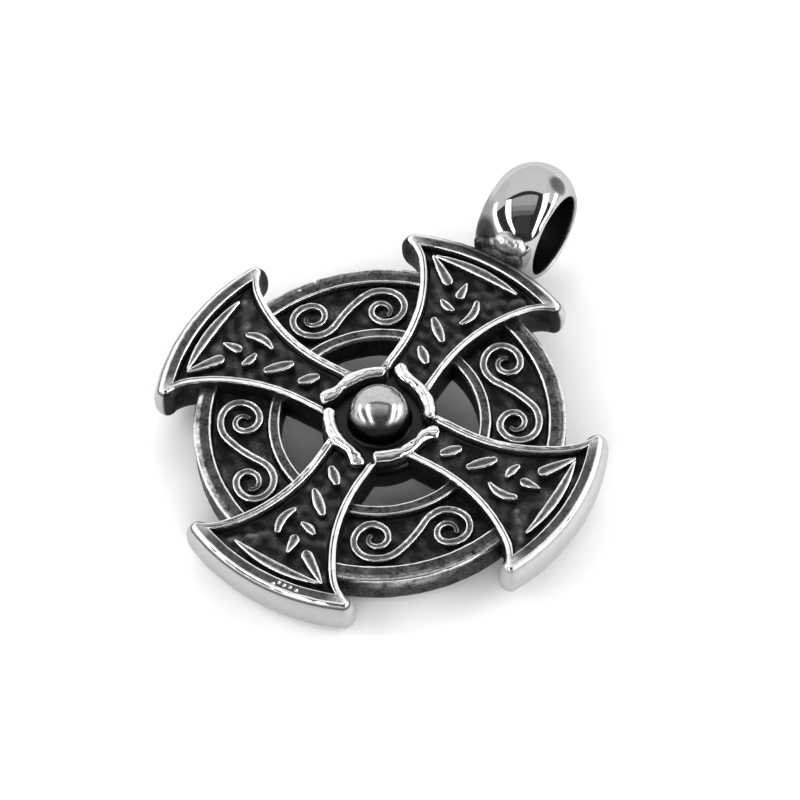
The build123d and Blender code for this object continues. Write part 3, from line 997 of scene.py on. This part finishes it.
# Hub: a sunk black moat with a domed boss in its middle, cast where the four arms meet. The
# boss is polished like a mirror. Low down, and higher up on its side towards the camera, it is
# darkened by a painted dark reflection.
boss_radius = 2.42 * mm
boss_rise = 2.15 * mm
boss_foot_height = 0.2 * mm
boss_foot_width = 0.25 * mm
hub_edge = 0.3 * mm
hub_edge_drop = 0.05 * mm
hub_back = -thickness + 2 * back_step
hub_hole = 0.001 * mm
boss_polish = 0.56
# Painted dark reflection on the boss: where it starts below, how softly it fades, the side towards
# the camera and how much higher it reaches there.
boss_shade_below = radians(5.0)
boss_shade_fade = radians(17.0)
shaded_side = radians(-55.0)
shade_rise = radians(25.0)
hub_steps = 160

hub_steel = steel(
    "hub_steel", smooth=0.07, matt=0.33, patches=700, patchiness=0.15, speckle=0.1,
    grain_scale=3000, pits=0.1, relief=0.08, black=(0.03, 0.03, 0.031),
)
hub_section = []
boss_middle = boss_rise - boss_radius
foot_angle = asin((hub_floor + boss_foot_height - boss_middle) / boss_radius)
for angle in np.linspace(pi / 2 - 0.001, foot_angle, 60):
    height = boss_middle + boss_radius * sin(angle)
    hub_section.append((boss_radius * cos(angle), height, boss_polish))
foot_radius, foot_height, _ = hub_section[-1]
for share in np.linspace(0, 1, 6)[1:]:
    height = foot_height + (hub_floor - foot_height) * sin(share * pi / 2)
    hub_section.append((foot_radius + boss_foot_width * share, height, 0.0))
for radius in np.linspace(foot_radius + boss_foot_width, hub_field_radius, 14)[1:]:
    hub_section.append((radius, hub_floor, 0.0))
hub_section.append((hub_field_radius + hub_edge, hub_floor - hub_edge_drop, 0.0))
hub_section.append((hub_field_radius + hub_edge, hub_back, step_polish))
hub_section.append((hub_hole, hub_back, back_polish))
loops, polish = spun(hub_section, hub_steps)
# Painted dark reflection: the boss is darkened low down, and more on its side towards the camera.
reach = np.hypot(loops[..., 0], loops[..., 1])
tilt = np.arctan2(loops[..., 2] - boss_middle, reach)
facing = np.cos(np.arctan2(loops[..., 1], loops[..., 0]) - shaded_side)
unshaded = np.clip((tilt - boss_shade_below - shade_rise * np.maximum(facing, 0)) / boss_shade_fade, 0, 1)
polish = polish * np.where(reach < boss_radius, unshaded**1.5, 1.0)
hub = shell("hub", loops, polish)
roughed(hub, depth=0.006 * mm, grain=2.0 * mm, seed=61)
hub.data.materials.append(hub_steel)
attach(hub, "root")
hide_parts("pendant")

# Pinwheel round the boss: four strands, each bent a quarter of the way round and running out
# over the neck of an arm in a spread tail. They are cast with the hub and rubbed bright on top.
strand_half_width = 0.58 * mm
strand_neck_width = 0.46 * mm
strand_rise = 0.3 * mm
strand_radius = 3.88 * mm
strand_start = radians(-66.0)
strand_bend = radians(-7.0)
strand_crown = 0.54 * mm
strand_polish = 0.5
tail_overrun = 0.48 * mm
tail_side = 0.92 * mm
tail_half_width = 0.62 * mm
tail_end_length = 0.2 * mm
tail_drop = 0.25 * mm
spread_start = 1.7 * mm
neck_place = 1.9 * mm
spread_length = 1.5 * mm
start_round = 0.35 * mm
stop_round = 0.3 * mm
tail_reach = hub_field_radius + tail_overrun

strand_steel = steel(
    "strand_steel", smooth=0.12, matt=0.45, patches=1300, patchiness=0.2, speckle=0.15,
    grain_scale=5000, pits=0.2, relief=0.2,
)
turns = np.linspace(strand_start, strand_bend, 60)
bent_part = strand_radius * np.stack([np.cos(turns), np.sin(turns)], -1)
tail_place = np.array([tail_reach, tail_side])
tail_part, tail_heading = tangent_arc(
    bent_part[-1], tail_place, strand_bend + pi / 2, np.linspace(0, 1, 30)[1:]
)
end_step = np.array([cos(tail_heading), sin(tail_heading)]) * tail_end_length
tail_end = tail_part[-1] + np.linspace(0, 1, 14)[1:, None] * end_step
strand_line = np.concatenate([bent_part, tail_part, tail_end])
strand_distance = distances(strand_line)
strand_length = strand_distance[-1]
spread = np.clip((strand_distance - strand_length + spread_start) / spread_length, 0, 1)
narrowed = np.clip(1 - abs(strand_distance - strand_length + neck_place) / spread_length, 0, 1) ** 2
strand_widths = strand_half_width + (tail_half_width - strand_half_width) * spread**1.5
strand_widths -= (strand_half_width - strand_neck_width) * narrowed
strand_widths *= round_ends(strand_distance, strand_length, start_round, stop_round)
strand_tops = strand_rise - tail_drop * spread**2
for number, name in enumerate(("strand_right", "strand_top", "strand_left", "strand_bottom")):
    path = turned_about(level(strand_line, 0.0), number * quarter_turn)[:, :2]
    strand = raised_bead(
        name, path, strand_widths, strand_tops, hub_floor, strand_crown, 0.0, strand_polish,
        strand_steel, seed=70 + number,
    )
    roughed(strand, depth=0.03 * mm, grain=1.4 * mm, seed=80 + number)
    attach(strand, "root")
    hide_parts("pendant")

# Bail: a heavy steel ring with a rounded outside, its hole from side to side for the chain. It
# is turned and mirror polished, with a few darker patches. Its bore and the lips into it are
# darkened as painted shade.
bail_width = 5.56 * mm
bail_crown = 2.0 * mm
bail_lip = 0.24 * mm
bail_skin = 0.03 * mm
bail_flattening = 0.09
bail_fullness = 0.67
# Painted shade: the lips darken into the bore, and the bore is painted dark.
lip_shading = 0.9
bail_bore_shade = 0.015
bail_steps = 260
BAIL_DARK_PATCHES = (
    {"place": (1.9, 24.3, 2.65), "radius": 1.0, "depth": 0.78},
    {"place": (-1.7, 18.2, 0.8), "radius": 1.7, "depth": 0.85},
    {"place": (-2.7, 19.6, 0.9), "radius": 2.2, "depth": 0.5},
)
dark_patch_sharpness = 1.8

bail_steel = steel(
    "bail_steel", smooth=0.07, matt=0.4, patches=500, patchiness=0.1, speckle=0.05,
    grain_scale=2500, pits=0.05, relief=0.05, bright=(0.5, 0.5, 0.5),
)
half = bail_width / 2 - bail_skin
crown_middle = bail_radius - bail_crown
first_angle = asin((bail_hole_radius + bail_lip - crown_middle) / bail_crown)
low_rise = sin(first_angle) - sin(first_angle) ** (2 * bail_fullness)
bail_section = []
for angle in np.linspace(first_angle, pi - first_angle, 76):
    rise = sin(angle) ** (2 * bail_fullness) + low_rise * (1 - sin(angle)) / (1 - sin(first_angle))
    bail_section.append((half * cos(angle), crown_middle + (bail_crown - bail_skin) * rise, rubbed))
edge_across, edge_reach, _ = bail_section[-1]
lip = []
for share in np.linspace(0, 1, 6)[1:]:
    across = edge_across + bail_lip * (1 - cos(share * pi / 2))
    reach = edge_reach + (bail_hole_radius - edge_reach) * sin(share * pi / 2)
    lip.append((across, reach, rubbed - lip_shading * share**2))
bail_section += lip
mouth = -lip[-1][0]
for across in np.linspace(-mouth, mouth, 26)[1:-1]:
    bail_section.append((across, bail_hole_radius, bail_bore_shade))
bail_section += [(-across, reach, shine) for across, reach, shine in lip[::-1]]
around = np.linspace(0, 2 * pi, bail_steps, endpoint=False)
across, radius, polish = np.array(bail_section).T[:, :, None]
flattened = 1 - bail_flattening * (radius - bail_hole_radius) / bail_wall * (np.cos(around) < 0)
bail_loops = [across, radius * np.cos(around) * flattened, radius * np.sin(around)]
loops = np.stack(np.broadcast_arrays(*bail_loops), -1) + bail_centre
polish = np.broadcast_to(polish, loops.shape[:2])
for dark_patch in BAIL_DARK_PATCHES:
    away = np.linalg.norm(loops - np.array(dark_patch["place"]) * mm, axis=-1) / (dark_patch["radius"] * mm)
    polish = polish * (1 - dark_patch["depth"] * np.clip(dark_patch_sharpness * (1 - away**2), 0, 1))
bail = shell("bail", loops, polish, joined_ends=True)
roughed(bail, depth=0.006 * mm, grain=2.2 * mm, seed=91)
bail.data.materials.append(bail_steel)
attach(bail, "root")
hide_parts("pendant")

# Solder that joins the bail to the end of the top arm: a lumpy bead run into the joint all
# across, left rough, its top painted lighter towards the right as a painted highlight.
solder_grid = 0.055 * mm
solder_softening = 20
crest_lightness = 0.9
least_polish = 0.06
# Each lump's place (x, y, z) and half sizes (wide, long, tall), in mm.
SOLDER_LUMPS = (
    (0.0, 17.85, -1.30, 2.05, 0.90, 1.55),
    (0.60, 18.35, 0.85, 1.20, 0.75, 1.05),
    (1.40, 18.55, 0.75, 0.75, 0.60, 0.85),
    (-0.35, 18.25, 0.20, 0.85, 0.55, 0.80),
    (-1.30, 18.05, -0.30, 0.95, 0.45, 0.95),
    (1.40, 18.05, -0.55, 0.80, 0.60, 0.80),
)

solder_steel = steel(
    "solder_steel", smooth=0.3, matt=0.6, patches=1500, patchiness=0.6, speckle=0.7,
    grain_scale=4500, pits=0.8, relief=0.8, bright=(0.8, 0.8, 0.8), black=(0.03, 0.03, 0.03),
)


def lump(place, half_sizes):
    """One rounded lump of solder, in mm."""
    tilts = np.linspace(-pi / 2 + 0.01, pi / 2 - 0.01, 24)[:, None]
    turns = np.linspace(0, 2 * pi, 40, endpoint=False)[None]
    round_about = np.cos(tilts)
    ball = [np.sin(tilts), round_about * np.cos(turns), round_about * np.sin(turns)]
    ball = np.stack(np.broadcast_arrays(*ball), -1)
    single = shell("lump", ball * (np.array(half_sizes) * mm) + np.array(place) * mm, 1.0)
    single.data.materials.append(solder_steel)
    return single


lumpy = joined("solder_lumps", [lump(row[:3], row[3:]) for row in SOLDER_LUMPS])
flow = lumpy.modifiers.new("flow", "REMESH")
flow.mode = "VOXEL"
flow.voxel_size = solder_grid
flowed = bpy.data.meshes.new_from_object(lumpy.evaluated_get(bpy.context.evaluated_depsgraph_get()))
bpy.data.objects.remove(lumpy)
work = bmesh.new()
work.from_mesh(flowed)
every_way = {"use_axis_x": True, "use_axis_y": True, "use_axis_z": True}
for _ in range(solder_softening):
    bmesh.ops.smooth_vert(work, verts=work.verts, factor=0.5, **every_way)
solder = smooth_piece("solder", work, flowed)
roughed(solder, depth=0.04 * mm, grain=1.1 * mm, seed=95)
roughed(solder, depth=0.01 * mm, grain=0.4 * mm, seed=96)
spots = np.empty(len(flowed.vertices) * 3)
flowed.vertices.foreach_get("co", spots)
spots = (spots.reshape(-1, 3) - bail_rest) @ lying_turn + bail_centre
# Painted highlight: the solder is lighter higher up and towards the right.
shine = crest_lightness * np.clip(spots[:, 2] / mm, 0, 1) * np.clip(spots[:, 0] / mm + 1.0, 0, 1)
shine = np.clip(shine, least_polish, 1.0)
paint(flowed, "polish", shine)
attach(solder, "root")
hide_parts("pendant")

# Table under the pendant: a smooth white sheet of matt paper, far wider than the view. It isn't
# part of the pendant.
table_half_width = 1.5
work = bmesh.new()
bmesh.ops.create_grid(work, x_segments=8, y_segments=8, size=table_half_width)
sheet = bpy.data.meshes.new("table")
work.to_mesh(sheet)
work.free()
table = bpy.data.objects.new("table", sheet)
bpy.context.collection.objects.link(table)
white_paper = bpy.data.materials.new("white_paper")
white_paper.use_nodes = True
paper = white_paper.node_tree.nodes["Principled BSDF"]
paper.inputs["Base Color"].default_value = (0.9, 0.9, 0.9, 1)
paper.inputs["Roughness"].default_value = 0.9
paper.inputs["Specular IOR Level"].default_value = 0.0
sheet.materials.append(white_paper)
table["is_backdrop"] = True

# Camera: a long lens, looking down from the lower left of the cross. Its place and axes are
# given beside the level cross, and are laid down with it.
camera_place = laid(np.array([81.4066, -117.2455, 218.2858]) * mm)
camera_right = lying_turn @ [0.85138729, 0.52374552, -0.02881499]
camera_down = lying_turn @ [0.4241995, -0.71979943, -0.54949391]
camera_ahead = lying_turn @ [-0.30853599, 0.45560884, -0.83500068]
lens = bpy.data.cameras.new("camera")
lens.sensor_width = 36.0
lens.lens = 151.92
lens.clip_start = 0.01
lens.clip_end = 10.0
camera = bpy.data.objects.new("camera", lens)
turn = Matrix([camera_right, -camera_down, -camera_ahead]).transposed()
camera.matrix_world = Matrix.Translation(Vector(camera_place)) @ turn.to_4x4()
bpy.context.collection.objects.link(camera)
bpy.context.scene.camera = camera

# Soft studio light: a white tent with a closed back and roof, two bright strips along each side
# of its open front, and a dark room beyond. All of that shows in the metal alone. A wide sheet
# above and four panels round it light the table alone.
front = np.array([-camera_ahead[0], -camera_ahead[1], 0.0])
front /= np.linalg.norm(front)
right = np.array([-front[1], front[0], 0.0])
up = np.array([0.0, 0.0, 1.0])


def aimed(sideways, forward, upward):
    """A place or a direction, as metres to the camera's right, towards it and up."""
    return sideways * right + forward * front + upward * up


def soft_panel(name, centre, facing, upright, width, height, radiance, for_table=False):
    """A flat glowing panel at a place, facing a direction, as bright as said. It shows in the
    metal, or else lights the table."""
    lamp = bpy.data.lights.new(name, "AREA")
    lamp.shape = "RECTANGLE"
    lamp.size = width
    lamp.size_y = height
    lamp.energy = radiance * pi * width * height
    panel = bpy.data.objects.new(name, lamp)
    away = -Vector(facing).normalized()
    side = Vector(upright).cross(away).normalized()
    turn = Matrix([side, away.cross(side), away]).transposed()
    panel.matrix_world = Matrix.Translation(Vector(centre)) @ turn.to_4x4()
    panel.visible_camera = False
    panel.visible_glossy = not for_table
    panel.visible_diffuse = for_table
    bpy.context.collection.objects.link(panel)


def strip(name, side, first, last, width):
    """A bright strip along one side, from one pair of forward and upward places to another."""
    start = aimed(side * side_reach, *first)
    stop = aimed(side * side_reach, *last)
    length = np.linalg.norm(stop - start)
    soft_panel(name, (start + stop) / 2, -side * right, stop - start, width, length, strip_radiance)


side_reach = 0.45
strip_radiance = 4.5
table_side_reach = 1.3
table_side_height = 0.75
table_side_slope = 0.58
soft_panel("tent_roof", aimed(0, -0.745, 0.7), -up, front, 1.6, 1.11, 1.05)
soft_panel("tent_back", aimed(0, -1.3, 0.35), front, up, 1.6, 0.7, 1.05)
soft_panel("tent_left", aimed(-0.8, -0.65, 0.35), right, up, 1.3, 0.7, 0.95)
soft_panel("tent_right", aimed(0.8, -0.65, 0.35), -right, up, 1.3, 0.7, 0.95)
strip("inner_left", -1, (-0.08, 0.55), (1.2, 0.37), 0.24)
strip("outer_left", -1, (-0.18, 0.17), (0.38, 0.06), 0.07)
strip("inner_right", 1, (-0.14, 0.38), (0.75, 0.15), 0.17)
strip("outer_right", 1, (-0.2, 0.12), (0.3, 0.05), 0.07)
soft_panel("haze_near", aimed(0, 0.07, 0.7), -up, front, 0.88, 0.26, 0.24)
soft_panel("haze_middle", aimed(0, 0.15, 0.705), -up, front, 0.9, 0.42, 0.2)
soft_panel("haze_far", aimed(0, 0.24, 0.71), -up, front, 0.92, 0.6, 0.18)
soft_panel("front_dim", aimed(0, 1.0, 0.72), aimed(0, -1, -0.6), up, 0.85, 0.8, 0.03)
soft_panel("table_top", aimed(0, 0, 1.6), -up, front, 3.0, 3.0, 0.25, for_table=True)
for number in range(4):
    out = aimed(sin(number * pi / 2), cos(number * pi / 2), 0)
    centre = out * table_side_reach + up * table_side_height
    facing = -out - up * table_side_slope
    soft_panel(f"table_side_{number}", centre, facing, up, 1.8, 1.0, 3.45, for_table=True)

room_light = 0.05
world = bpy.data.worlds.new("room")
world.use_nodes = True
world.node_tree.nodes["Background"].inputs["Color"].default_value = (1, 1, 1, 1)
world.node_tree.nodes["Background"].inputs["Strength"].default_value = room_light
bpy.context.scene.world = world
bpy.context.scene.view_settings.view_transform = "Standard"
bpy.context.scene.view_settings.look = "None"

low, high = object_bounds()
